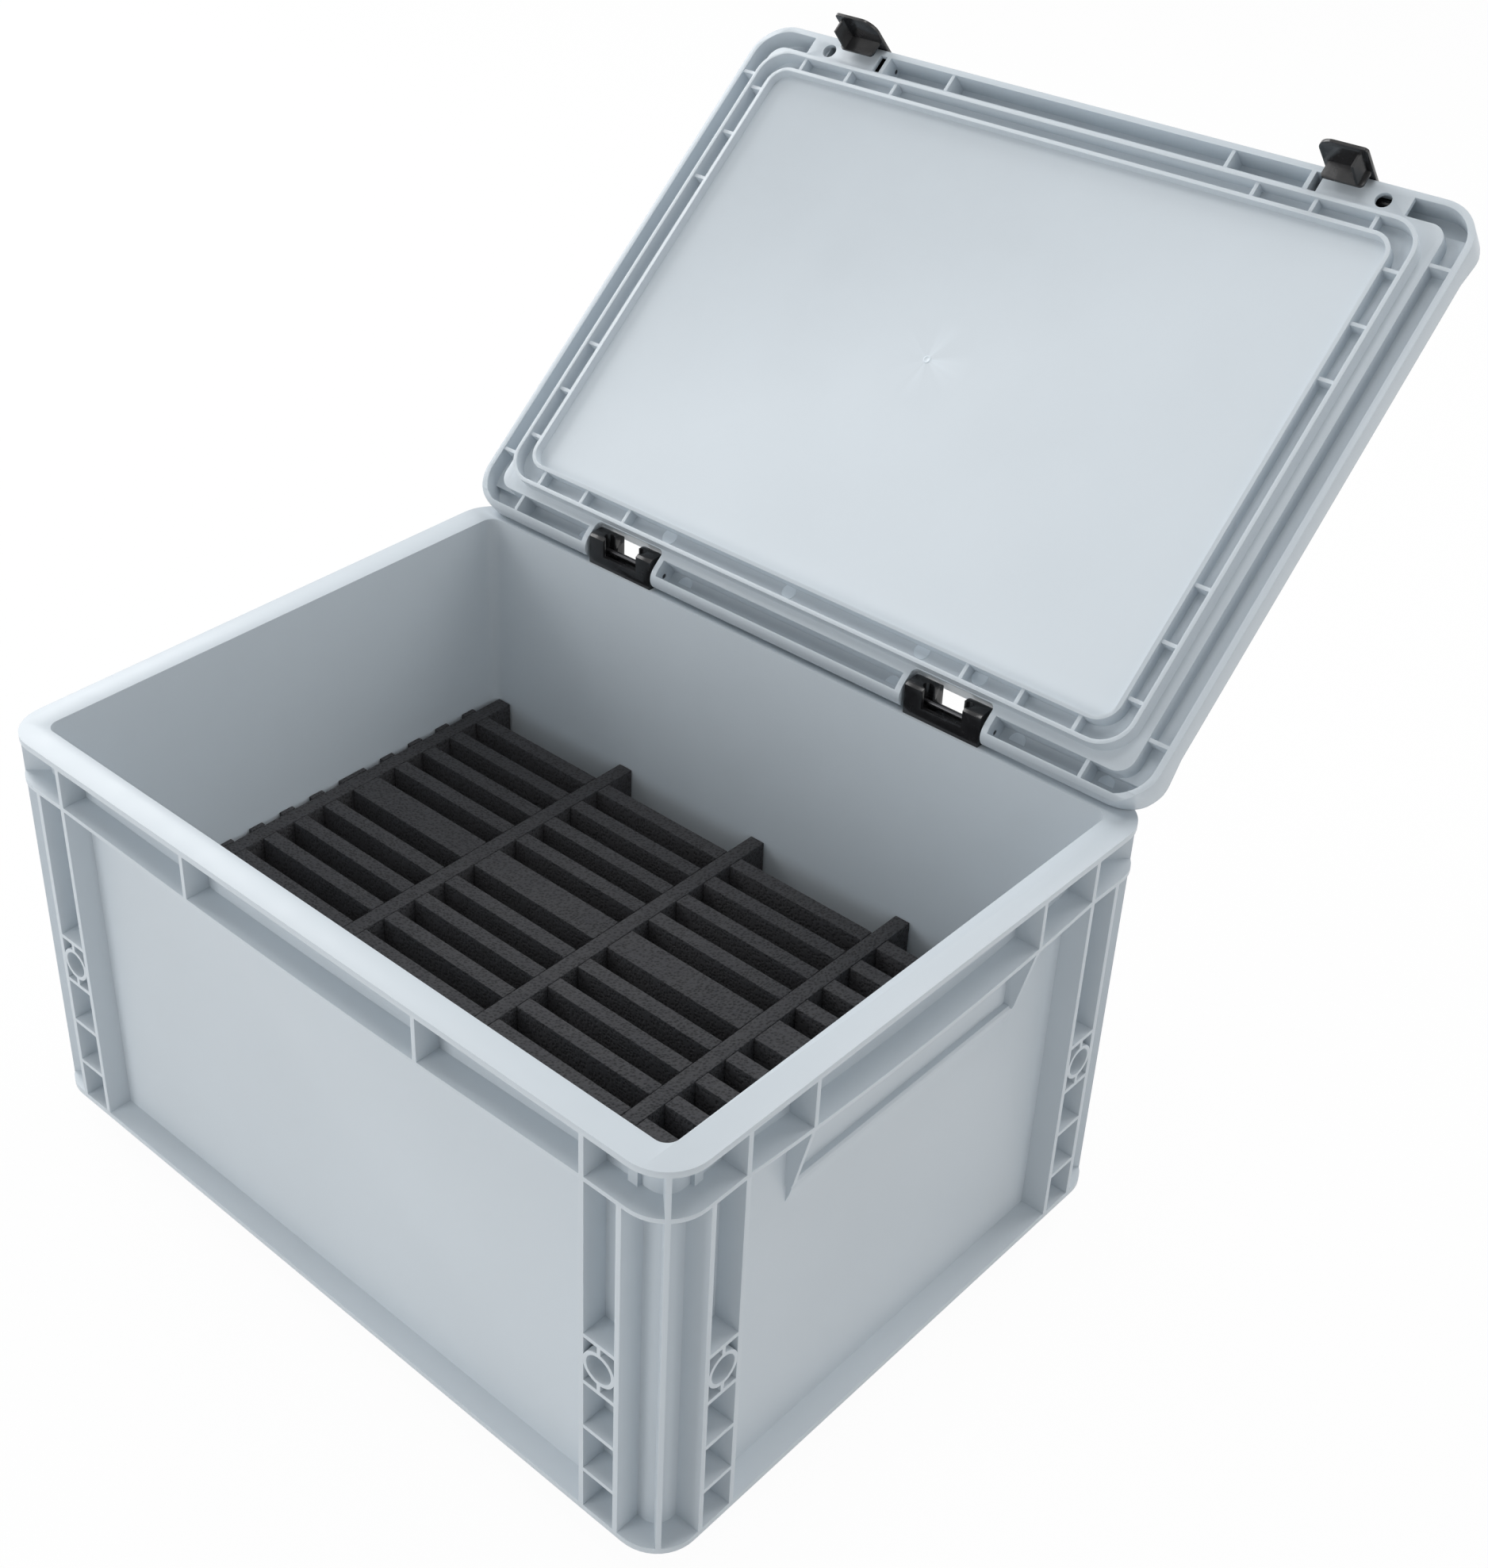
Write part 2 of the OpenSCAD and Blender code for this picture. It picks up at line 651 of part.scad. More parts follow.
module lid_shut() {
    difference() {
        union() {
            lid_border();
            lid_floor();
            inner_cross_ribs();
            outer_cross_ribs();
            both_sides_x() {
                window_walls();
                latch_seat();
            }
        }
        along_x(-half_l - 1, half_l + 1) roll_waste();
        both_sides_x() {
            window_cut();
            latch_cuts();
        }
    }
}

// Turns what is drawn on the shut lid to the open position
module on_open_lid() {
    translate([0, hinge_y, hinge_z]) rotate([-lid_open, 0, 0])
        translate([0, -hinge_y, -hinge_z]) children();
}

module lid() {
    color(plastic_grey) on_open_lid() lid_shut();
}

// ---- hinges, drawn for the right side ----

// Side view of a cheek in Y and Z, from y0 to the back of the block
module cheek_profile(y0) {
    intersection() {
        translate([y0, box_h]) square([block_back - y0, block_top - box_h]);
        union() {
            translate([hinge_y, hinge_z]) circle(cheek_r);
            translate([y0, box_h]) square([block_back - y0, hinge_h]);
        }
    }
}

// One cheek with its peg, drawn about the middle of the block
module hinge_cheek() {
    x0 = -block_w / 2;
    difference() {
        union() {
            along_x(x0, x0 + cheek_w) cheek_profile(block_front);
            along_x(x0, x0 + cheek_w + cheek_step) cheek_profile(hinge_y);
        }
        translate([x0 + cheek_w, hinge_y - groove_r / 2, box_h + web_h]) cylinder(h = block_top, r = groove_r);
    }
    translate([x0 / 2, hinge_y, rim_z - 0.5]) cylinder(h = rim_t + 1, r = peg_r);
}

module hinge_block() {
    half = block_w / 2;
    color(clip_black) translate([hinge_x, 0, 0]) difference() {
        union() {
            both_sides_x() hinge_cheek();
            block([-half, block_front, box_h], [half, block_back, box_h + web_t]);
            block([-half, block_front, box_h], [half, block_front + web_t, box_h + web_h]);
            block([-half, block_back - web_t, box_h], [half, block_back, box_h + (web_t + web_h) / 2]);
        }
        bar_x(-half - 1, half + 1, hinge_y, hinge_z, hinge_pin_r + still_fit);
    }
}

module hinge_pin() {
    reach = window_w / 2 + window_wall_t - lid_gap;
    color(dark_steel) bar_x(hinge_x - reach, hinge_x + reach, hinge_y, hinge_z, hinge_pin_r);
}

// ---- latches, drawn shut for the right side ----

// Outline of the arm, plate and hook in Y and Z
module latch_profile() {
    inner = -half_w - plate_gap;
    outer = inner - latch_t;
    polygon([
        [latch_y, latch_z + knuckle_r],
        [outer + latch_t, latch_z + knuckle_r],
        [outer, latch_z + knuckle_r - latch_t],
        [outer, box_h - latch_drop],
        [inner, box_h - latch_drop],
        [inner, latch_z - knuckle_r + latch_t / 2],
        [latch_y, latch_z - knuckle_r]
    ]);
}

// Front view of the plate in X and Z, with its rounded lower corners
module plate_front(x0, x1, z0) {
    hull() {
        translate([x0 + latch_r_in, z0 + latch_r_in]) circle(latch_r_in);
        translate([x1 - latch_r_out, z0 + latch_r_out]) circle(latch_r_out);
        translate([x0, lid_top]) square([x1 - x0, 1]);
    }
}

// Hook in plan, with its rounded corners towards the wall
module hook_plan(x0, x1) {
    root = -half_w - plate_gap - latch_t / 2;
    tip = -half_w + hook_reach;
    hull() {
        translate([x0, root]) square([x1 - x0, 1]);
        for (x = [x0 + latch_r_out, x1 - latch_r_out])
            translate([x, tip - latch_r_out]) circle(latch_r_out);
    }
}

module latch() {
    x0 = latch_x;
    x1 = latch_x + latch_w;
    hook_top = rim_z - hook_gap;
    root = -half_w - plate_gap - latch_t / 2;
    gusset_x = x1 - hook_in[1] - latch_r_out;
    color(clip_black) difference() {
        union() {
            intersection() {
                along_x(x0, x1) latch_profile();
                along_y(-half_w - knuckle_l, latch_y + knuckle_r) plate_front(x0, x1, box_h - latch_drop);
            }
            translate([0, 0, hook_top - hook_t]) linear_extrude(hook_t) hook_plan(x0 + hook_in[0], x1 - hook_in[1]);
            along_x(gusset_x - gusset_t, gusset_x)
                polygon([
                    [root, hook_top - gusset_h - hook_t],
                    [-half_w + hook_reach - 0.8, hook_top - gusset_h - hook_t],
                    [-half_w + hook_reach - 0.3, hook_top - hook_t / 2],
                    [root, hook_top - hook_t / 2]
                ]);
            bar_x(knuckle_x, knuckle_x + knuckle_l, latch_y, latch_z, knuckle_r);
        }
        bar_x(knuckle_x - 1, knuckle_x + knuckle_l + 1, latch_y, latch_z, latch_pin_r + run_fit);
    }
}

module latch_at_rest() {
    on_open_lid() translate([0, latch_y, latch_z]) rotate([-latch_open, 0, 0])
        translate([0, -latch_y, -latch_z]) latch();
}

module latch_pin() {
    past = side_gap + bearing_t - lid_gap;
    color(dark_steel) on_open_lid()
        bar_x(knuckle_x - past, knuckle_x + knuckle_l + past, latch_y, latch_z, latch_pin_r);
}

// ---- foam insert ----

function column_x(i) = (i - column_count / 2) * column_pitch;
function strip_t(i) = i == front_rows ? broad_t : foam_t;
function strip_front(i) = rows_front + i * strip_pitch + (i > front_rows ? broad_t - foam_t : 0);

// Half length of a cross strip whose outer face is at x, clear of the tub's rounded corners
function strip_reach(x) =
    let (r = tub_r - wall_t, into = max(0, x - (inner_l / 2 - r)))
    inner_w / 2 - r + sqrt(max(0, r * r - into * into)) - foam_gap;

module insert_base_pad() {
    inset = 2 * (wall_t + foam_gap);
    color(foam_black) slab(foot_l - inset, foot_w - inset, foot_r - wall_t, floor_t, shelf_z);
}

// Strip along X, notched from above for the strips that cross it
module row_strip(i) {
    y = strip_front(i);
    half = inner_l / 2 - foam_gap;
    color(foam_black) difference() {
        block([-half, y, shelf_z], [half, y + strip_t(i), shelf_z + foam_h]);
        for (k = [0:column_count])
            translate([column_x(k), y - 1, shelf_z + foam_h / 2])
                block([-foam_t / 2 - foam_gap, 0, 0], [foam_t / 2 + foam_gap, strip_t(i) + 2, foam_h]);
    }
}

// Strip along Y, notched from below for the strips that it crosses
module column_strip(k) {
    x = column_x(k);
    half = strip_reach(abs(x) + foam_t / 2);
    color(foam_black) difference() {
        block([x - foam_t / 2, -half, shelf_z], [x + foam_t / 2, half, shelf_z + foam_h]);
        for (i = [0:row_strips - 1])
            block(
                [x - foam_t, strip_front(i) - foam_gap, shelf_z - 1],
                [x + foam_t, strip_front(i) + strip_t(i) + foam_gap, shelf_z + foam_h / 2 + foam_gap]
            );
    }
}

container();
lid();
mirror([1, 0, 0]) hinge_block();  // hinge_block_left
hinge_block();  // hinge_block_right
mirror([1, 0, 0]) hinge_pin();  // hinge_pin_left
hinge_pin();  // hinge_pin_right
mirror([1, 0, 0]) latch_at_rest();  // latch_left
latch_at_rest();  // latch_right
mirror([1, 0, 0]) latch_pin();  // latch_pin_left
latch_pin();  // latch_pin_right
insert_base_pad();
for (i = [0:row_strips - 1])
    row_strip(i);
for (k = [0:column_count])
    column_strip(k);
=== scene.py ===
"""Stacking container with a hinged lid, two snap latches and a slotted foam insert.

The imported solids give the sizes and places. This file gives them their looks: mouldings and
foam are copies of their solids with softened edges, the pins keep their solids and take a
finish, and the marks that moulding leaves on the lid are small pieces of their own. Lengths
are in metres, except where a docstring says millimetres.
"""

import json
import logging
import math
from dataclasses import dataclass, field
from enum import Enum
from typing import Dict, List, NamedTuple, Optional, Sequence, Tuple, Union

import bmesh
import bpy
from mathutils import Matrix, Vector


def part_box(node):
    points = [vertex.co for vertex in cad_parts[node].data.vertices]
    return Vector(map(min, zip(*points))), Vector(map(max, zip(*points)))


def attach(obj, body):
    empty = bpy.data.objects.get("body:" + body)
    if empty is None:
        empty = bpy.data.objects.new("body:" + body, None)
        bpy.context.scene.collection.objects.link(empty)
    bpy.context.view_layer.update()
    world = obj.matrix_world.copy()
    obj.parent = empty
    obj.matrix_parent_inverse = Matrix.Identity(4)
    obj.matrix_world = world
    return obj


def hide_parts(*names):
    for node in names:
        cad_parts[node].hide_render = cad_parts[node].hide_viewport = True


MM = 0.001
MERGE_DISTANCE = 1e-6
WHITE = (1.0, 1.0, 1.0)

Colour = Tuple[float, float, float]
Point = Tuple[float, float, float]
Turn = Tuple[float, float, float]
Span = Tuple[float, float]
Socket = bpy.types.NodeSocket
Paint = Union[Colour, Socket]
Links = Dict[Union[int, str], object]

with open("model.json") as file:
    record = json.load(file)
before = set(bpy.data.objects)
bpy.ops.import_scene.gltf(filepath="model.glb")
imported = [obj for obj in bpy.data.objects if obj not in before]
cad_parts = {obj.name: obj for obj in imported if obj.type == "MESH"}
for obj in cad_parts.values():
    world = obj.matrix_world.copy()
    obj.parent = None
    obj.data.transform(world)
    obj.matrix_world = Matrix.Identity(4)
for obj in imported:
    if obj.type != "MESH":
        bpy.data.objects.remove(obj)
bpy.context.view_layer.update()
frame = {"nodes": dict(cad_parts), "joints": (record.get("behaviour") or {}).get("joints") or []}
log = logging.getLogger("container")


# ---- node trees ----

# Sockets that share their name with others of the node, by number.
MIX_FACTOR, MIX_FIRST, MIX_SECOND = 0, 6, 7
MIX_RESULT = 2
RANDOM_LEAST, RANDOM_MOST = 2, 3
RANDOM_RESULT = 1

WHOLE: Span = (0.0, 1.0)
# Nearly all of a noise texture lies within this span.
NOISE_SPAN: Span = (0.3, 0.7)


class Noise(NamedTuple):
    """One layer of cloudy noise: its scale, its octaves and how rough these are."""

    scale: float
    detail: float
    rough: float = 0.5


def add_node(
    tree: bpy.types.NodeTree, kind: str, links: Optional[Links] = None, **settings: object
) -> bpy.types.Node:
    """Adds a node to a tree.

    Args:
        tree: The tree that takes the node.
        kind: The node's type name.
        links: Input name or number to a value or to another node's output.
        settings: Attributes of the node, set before its inputs.

    Returns:
        The new node.
    """
    node = tree.nodes.new(kind)
    for key, value in settings.items():
        setattr(node, key, value)
    for key, value in (links or {}).items():
        if isinstance(value, Socket):
            tree.links.new(value, node.inputs[key])
        else:
            node.inputs[key].default_value = value
    return node


def shade(colour: Colour, factor: float) -> Colour:
    """Returns a colour made lighter or darker by a factor."""
    return tuple(min(1.0, channel * factor) for channel in colour)


def with_alpha(paint: Paint) -> object:
    """Returns a colour with its alpha, or a socket as it is."""
    return paint if isinstance(paint, Socket) else (*paint, 1.0)


class NodeSketch:
    """Short way to lay out the shader tree of a material or a world."""

    def __init__(self, owner: Union[bpy.types.Material, bpy.types.World]) -> None:
        """Starts with an empty tree.

        Args:
            owner: The material or world that the tree belongs to.
        """
        owner.use_nodes = True
        self.owner = owner
        self.tree = owner.node_tree
        self.tree.nodes.clear()

    def add(self, kind: str, links: Optional[Links] = None, **settings: object) -> bpy.types.Node:
        """Adds a node to the tree and returns it, as add_node does."""
        return add_node(self.tree, kind, links, **settings)

    def place(self) -> Socket:
        """Returns the object coordinates."""
        return self.add("ShaderNodeTexCoord").outputs["Object"]

    def noise(self, vector: Socket, layer: Noise) -> Socket:
        """Returns the factor of one layer of noise."""
        links = {"Vector": vector, "Scale": layer.scale, "Detail": layer.detail, "Roughness": layer.rough}
        return self.add("ShaderNodeTexNoise", links).outputs[0]

    def spread(self, value: Socket, given: Span, wanted: Span) -> Socket:
        """Maps a value from one span to another and holds it within that.

        Args:
            value: The value.
            given: The span that it comes in.
            wanted: The span that it leaves in, from high to low to turn it round.

        Returns:
            The new value.
        """
        ends = {"From Min": given[0], "From Max": given[1], "To Min": wanted[0], "To Max": wanted[1]}
        return self.add("ShaderNodeMapRange", {"Value": value, **ends}).outputs[0]

    def compute(self, operation: str, first: Socket, second: object = 0.0) -> Socket:
        """Returns the result of a Math node."""
        return self.add("ShaderNodeMath", {0: first, 1: second}, operation=operation).outputs[0]

    def plus(self, first: Socket, second: object) -> Socket:
        """Returns the sum of two values."""
        return self.compute("ADD", first, second)

    def times(self, first: Socket, second: object) -> Socket:
        """Returns the product of two values."""
        return self.compute("MULTIPLY", first, second)

    def between(self, factor: Socket, low: Paint, high: Paint) -> Socket:
        """Returns a colour between two colours."""
        links = {MIX_FACTOR: factor, MIX_FIRST: with_alpha(low), MIX_SECOND: with_alpha(high)}
        return self.add("ShaderNodeMix", links, data_type="RGBA").outputs[MIX_RESULT]

    def bump(self, height: Socket, strength: float, depth: float) -> Socket:
        """Returns the normals of a surface that rises and falls with a height."""
        links = {"Height": height, "Strength": strength, "Distance": depth}
        return self.add("ShaderNodeBump", links).outputs[0]

    def direct_rays(self) -> Socket:
        """Tells the rays that show the background: straight, mirrored or through glass.

        Returns:
            1 for such a ray and 0 for any other.
        """
        rays = self.add("ShaderNodeLightPath").outputs
        seen = self.compute("MAXIMUM", rays["Is Camera Ray"], rays["Is Glossy Ray"])
        return self.compute("MAXIMUM", seen, rays["Is Transmission Ray"])

    def surface(self, links: Links) -> bpy.types.Material:
        """Ends the tree in one plain surface with the given inputs and returns the material."""
        return self.finish(self.add("ShaderNodeBsdfPrincipled", links).outputs[0])

    def finish(
        self, shader: Socket, output: str = "ShaderNodeOutputMaterial"
    ) -> Union[bpy.types.Material, bpy.types.World]:
        """Ends the tree in its output and returns its owner."""
        self.add(output, {"Surface": shader})
        return self.owner


# ---- finishes ----


@dataclass(frozen=True)
class GateStar:
    """Pale rays and soft waves around the gate, where the melt came into the mould.

    The waves turn by wave_turn radians for each metre from the gate, and the waver adds up to
    waver_turn radians.
    """

    gate: Point
    tint: float = 1.16
    rays: Noise = Noise(1.5, 1.5)
    ray_span: Span = (0.45, 0.7)
    ray_reach: float = 24 * MM
    ray_strength: float = 0.9
    waver: Noise = Noise(16.0, 3.0)
    waver_turn: float = 9.0
    wave_turn: float = 90.0
    wave_start: float = 10 * MM
    wave_reach: float = 160 * MM
    wave_strength: float = 0.12

    def share(self, sketch: NodeSketch, place: Socket) -> Socket:
        """Lays out the star.

        Args:
            sketch: The tree that is being laid out.
            place: Object coordinates.

        Returns:
            The share of paler plastic, from 0 to 1.
        """
        both = {0: place, 1: self.gate}
        offset = sketch.add("ShaderNodeVectorMath", both, operation="SUBTRACT").outputs[0]
        way = sketch.add("ShaderNodeVectorMath", {0: offset}, operation="NORMALIZE").outputs[0]
        away = sketch.add("ShaderNodeVectorMath", both, operation="DISTANCE").outputs["Value"]
        rays = sketch.spread(sketch.noise(way, self.rays), self.ray_span, WHOLE)
        ray_fade = sketch.spread(away, (0.0, self.ray_reach), (self.ray_strength, 0.0))
        waver = sketch.times(sketch.noise(place, self.waver), self.waver_turn)
        phase = sketch.plus(sketch.times(away, self.wave_turn), waver)
        wave = sketch.spread(sketch.compute("SINE", phase), (-1.0, 1.0), WHOLE)
        wave_fade = sketch.spread(away, (self.wave_start, self.wave_reach), (self.wave_strength, 0.0))
        return sketch.plus(sketch.times(rays, ray_fade), sketch.times(wave, wave_fade))


@dataclass(frozen=True)
class MouldedPlastic:
    """Satin polypropylene with faint flow clouds and a very fine grain."""

    name: str
    colour: Colour = (0.565, 0.622, 0.668)
    roughness: Span = (0.38, 0.46)
    star: Optional[GateStar] = None
    tint: float = 0.022
    clouds: Noise = Noise(9.0, 3.0)
    streaks: Noise = Noise(70.0, 5.0, 0.6)
    streak_share: float = 0.2
    grain: Noise = Noise(2600.0, 2.0)
    ripple: Noise = Noise(60.0, 2.0)
    ripple_height: float = 1.5
    relief: float = 0.02
    relief_depth: float = 0.4 * MM
    refraction: float = 1.49

    def build(self) -> bpy.types.Material:
        """Lays out the finish.

        Returns:
            The material.
        """
        sketch = NodeSketch(bpy.data.materials.new(self.name))
        place = sketch.place()
        clouds = sketch.noise(place, self.clouds)
        streaks = sketch.noise(place, self.streaks)
        cloud_tone = sketch.spread(clouds, NOISE_SPAN, (0.0, 1.0 - self.streak_share))
        streak_tone = sketch.spread(streaks, NOISE_SPAN, (0.0, self.streak_share))
        tone = sketch.plus(cloud_tone, streak_tone)
        colour = sketch.between(tone, shade(self.colour, 1 - self.tint), shade(self.colour, 1 + self.tint))
        if self.star is not None:
            share = self.star.share(sketch, place)
            colour = sketch.between(share, colour, shade(self.colour, self.star.tint))
        ripple = sketch.times(sketch.noise(place, self.ripple), self.ripple_height)
        height = sketch.plus(sketch.noise(place, self.grain), ripple)
        return sketch.surface({
            "Base Color": colour,
            "Roughness": sketch.spread(streaks, NOISE_SPAN, self.roughness),
            "Normal": sketch.bump(height, self.relief, self.relief_depth),
            "IOR": self.refraction,
        })


@dataclass(frozen=True)
class GlossClip:
    """Black glossy plastic of the hinge blocks and latches."""

    name: str = "clip_gloss"
    colour: Colour = (0.010, 0.010, 0.011)
    tints: Span = (0.8, 1.5)
    roughness: Span = (0.14, 0.3)
    smears: Noise = Noise(240.0, 4.0, 0.6)
    grain: Noise = Noise(900.0, 2.0)
    relief: float = 0.05
    relief_depth: float = 0.3 * MM
    refraction: float = 1.5

    def build(self) -> bpy.types.Material:
        """Lays out the finish.

        Returns:
            The material.
        """
        sketch = NodeSketch(bpy.data.materials.new(self.name))
        place = sketch.place()
        smears = sketch.noise(place, self.smears)
        return sketch.surface({
            "Base Color": sketch.between(smears, *(shade(self.colour, tint) for tint in self.tints)),
            "Roughness": sketch.spread(smears, NOISE_SPAN, self.roughness),
            "Normal": sketch.bump(sketch.noise(place, self.grain), self.relief, self.relief_depth),
            "IOR": self.refraction,
        })


@dataclass(frozen=True)
class DrawnSteel:
    """Blackened steel wire with drawing lines along X."""

    name: str = "drawn_steel"
    colour: Colour = (0.09, 0.09, 0.095)
    tints: Span = (0.85, 1.1)
    roughness: Span = (0.26, 0.44)
    line_scale: Point = (40.0, 2400.0, 2400.0)
    lines: Noise = Noise(1.0, 3.0)

    def build(self) -> bpy.types.Material:
        """Lays out the finish.

        Returns:
            The material.
        """
        sketch = NodeSketch(bpy.data.materials.new(self.name))
        stretch = {"Vector": sketch.place(), "Scale": self.line_scale}
        lines = sketch.noise(sketch.add("ShaderNodeMapping", stretch).outputs[0], self.lines)
        return sketch.surface({
            "Base Color": sketch.between(lines, *(shade(self.colour, tint) for tint in self.tints)),
            "Roughness": sketch.spread(lines, NOISE_SPAN, self.roughness),
            "Metallic": 1.0,
        })


@dataclass(frozen=True)
class CellFoam:
    """Black closed-cell foam: matt, with small open cells on its cut faces, which are painted darker in
    their hollows as shade.
    """

    name: str = "cell_foam"
    colour: Colour = (0.022, 0.022, 0.024)
    # From the painted shade deep in the cells to the palest random wear.
    tints: Span = (0.4, 2.2)
    roughness: Span = (0.82, 0.95)
    cell_scale: float = 620.0
    cell_span: Span = (0.1, 0.6)
    pore_shade_share: float = 0.65
    wear: Noise = Noise(60.0, 5.0, 0.6)
    wear_span: Span = (0.35, 0.65)
    relief: float = 0.8
    relief_depth: float = 0.6 * MM

    def build(self) -> bpy.types.Material:
        """Lays out the finish.

        Returns:
            The material.
        """
        sketch = NodeSketch(bpy.data.materials.new(self.name))
        place = sketch.place()
        cells = sketch.add("ShaderNodeTexVoronoi", {"Vector": place, "Scale": self.cell_scale})
        pores = sketch.spread(cells.outputs["Distance"], self.cell_span, WHOLE)
        wear = sketch.spread(sketch.noise(place, self.wear), self.wear_span, WHOLE)
        # Painted shade: the tone is darkest at the bottom of each open cell, where the bump sinks it; the
        # rest of the tone is random wear.
        painted_pore_shade = sketch.times(pores, self.pore_shade_share)
        tone = sketch.plus(painted_pore_shade, sketch.times(wear, 1.0 - self.pore_shade_share))
        return sketch.surface({
            "Base Color": sketch.between(tone, *(shade(self.colour, tint) for tint in self.tints)),
            "Roughness": sketch.spread(wear, NOISE_SPAN, self.roughness),
            "Normal": sketch.bump(pores, self.relief, self.relief_depth),
        })


# ---- mesh helpers ----


def new_piece(name: str, data: bpy.types.ID) -> bpy.types.Object:
    """Links a new object at the origin.

    Args:
        name: The object's name.
        data: The mesh, camera or lamp that it holds.

    Returns:
        The object.
    """
    piece = bpy.data.objects.new(name, data)
    bpy.context.scene.collection.objects.link(piece)
    return piece


def smooth_by_angle(mesh: bpy.types.Mesh, degrees: float) -> None:
    """Shades a mesh smooth, with sharp edges where its faces turn by an angle or more.

    Args:
        mesh: The mesh.
        degrees: The least turn of a sharp edge.
    """
    work = bmesh.new()
    work.from_mesh(mesh)
    limit = math.radians(degrees)
    for face in work.faces:
        face.smooth = True
    for edge in work.edges:
        edge.smooth = len(edge.link_faces) == 2 and edge.calc_face_angle(0.0) < limit
    work.to_mesh(mesh)
    work.free()


def settle(piece: bpy.types.Object) -> None:
    """Turns a piece with modifiers into a plain mesh without them.

    Args:
        piece: An object at the origin.
    """
    graph = bpy.context.evaluated_depsgraph_get()
    mesh = bpy.data.meshes.new_from_object(piece.evaluated_get(graph), depsgraph=graph)
    piece.modifiers.clear()
    piece.data = mesh


def dress(piece: bpy.types.Object, material: bpy.types.Material, body: str) -> None:
    """Gives a piece its finish and the body that it moves with.

    Args:
        piece: The piece.
        material: Its finish.
        body: The body that carries it.
    """
    piece.data.materials.clear()
    piece.data.materials.append(material)
    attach(piece, body)


@dataclass
class SoftEdgedCopy:
    """Copy of a solid that takes its place, with its sharp edges rounded."""

    node: str
    name: str
    radius: float
    segments: int = 2
    flat_degrees: float = 0.6
    rounded_degrees: float = 40.0
    sharp_degrees: float = 38.0

    def build(self) -> bpy.types.Object:
        """Makes the copy.

        Returns:
            A plain mesh at the origin, which replaces the solid.
        """
        piece = new_piece(self.name, self.merged_mesh())
        bevel = piece.modifiers.new("rounding", "BEVEL")
        bevel.width = self.radius
        bevel.segments = self.segments
        bevel.limit_method = "ANGLE"
        bevel.angle_limit = math.radians(self.rounded_degrees)
        bevel.use_clamp_overlap = True
        settle(piece)
        smooth_by_angle(piece.data, self.sharp_degrees)
        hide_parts(self.node)
        return piece

    def merged_mesh(self) -> bpy.types.Mesh:
        """Joins the solid's loose triangles into closed, flat faces.

        Returns:
            The joined mesh. The solid's own stays as it is.
        """
        mesh = frame["nodes"][self.node].data.copy()
        mesh.name = self.name
        work = bmesh.new()
        work.from_mesh(mesh)
        bmesh.ops.remove_doubles(work, verts=work.verts, dist=MERGE_DISTANCE)
        flat = math.radians(self.flat_degrees)
        bmesh.ops.dissolve_limit(work, angle_limit=flat, verts=work.verts, edges=work.edges)
        work.to_mesh(mesh)
        work.free()
        return mesh


# ---- marks of moulding ----


class Side(Enum):
    """The two ends of the object, with the sign of X at each."""

    LEFT = -1
    RIGHT = 1

    @property
    def word(self) -> str:
        """Returns the side's name as the solids use it."""
        return self.name.lower()


@dataclass(frozen=True)
class LidFrame:
    """Places on the underside of the lid, given for the shut lid and found on the open one."""

    hinge: Vector
    lip: float
    turn: float

    @classmethod
    def from_solids(cls, lip_gap: float = 0.3 * MM) -> "LidFrame":
        """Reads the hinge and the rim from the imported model, in which the lid stands open.

        Args:
            lip_gap: Height of the shut lid's lip above the container's rim.

        Returns:
            The lid's frame.
        """
        joint = next(joint for joint in frame["joints"] if joint["name"] == "lid_hinge")
        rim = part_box("container")[1].z
        return cls(Vector(joint["pos_m"]), rim + lip_gap, -math.radians(joint["range_deg"][1]))

    @property
    def facing(self) -> Turn:
        """Returns the Euler turn that points +Z out of the lid's underside."""
        return (self.turn + math.pi, 0.0, 0.0)

    def place(self, right: float, behind: float, above_lip: float) -> Vector:
        """Finds a place of the shut lid on the open lid.

        Args:
            right: Distance to the right of the middle, in millimetres.
            behind: Distance behind the middle, in millimetres.
            above_lip: Height above the lip of the skirt, in millimetres.

        Returns:
            Where the place lies on the open lid, in metres.
        """
        shut = Vector((right * MM, behind * MM, self.lip + above_lip * MM))
        return Matrix.Rotation(self.turn, 3, "X") @ (shut - self.hinge) + self.hinge


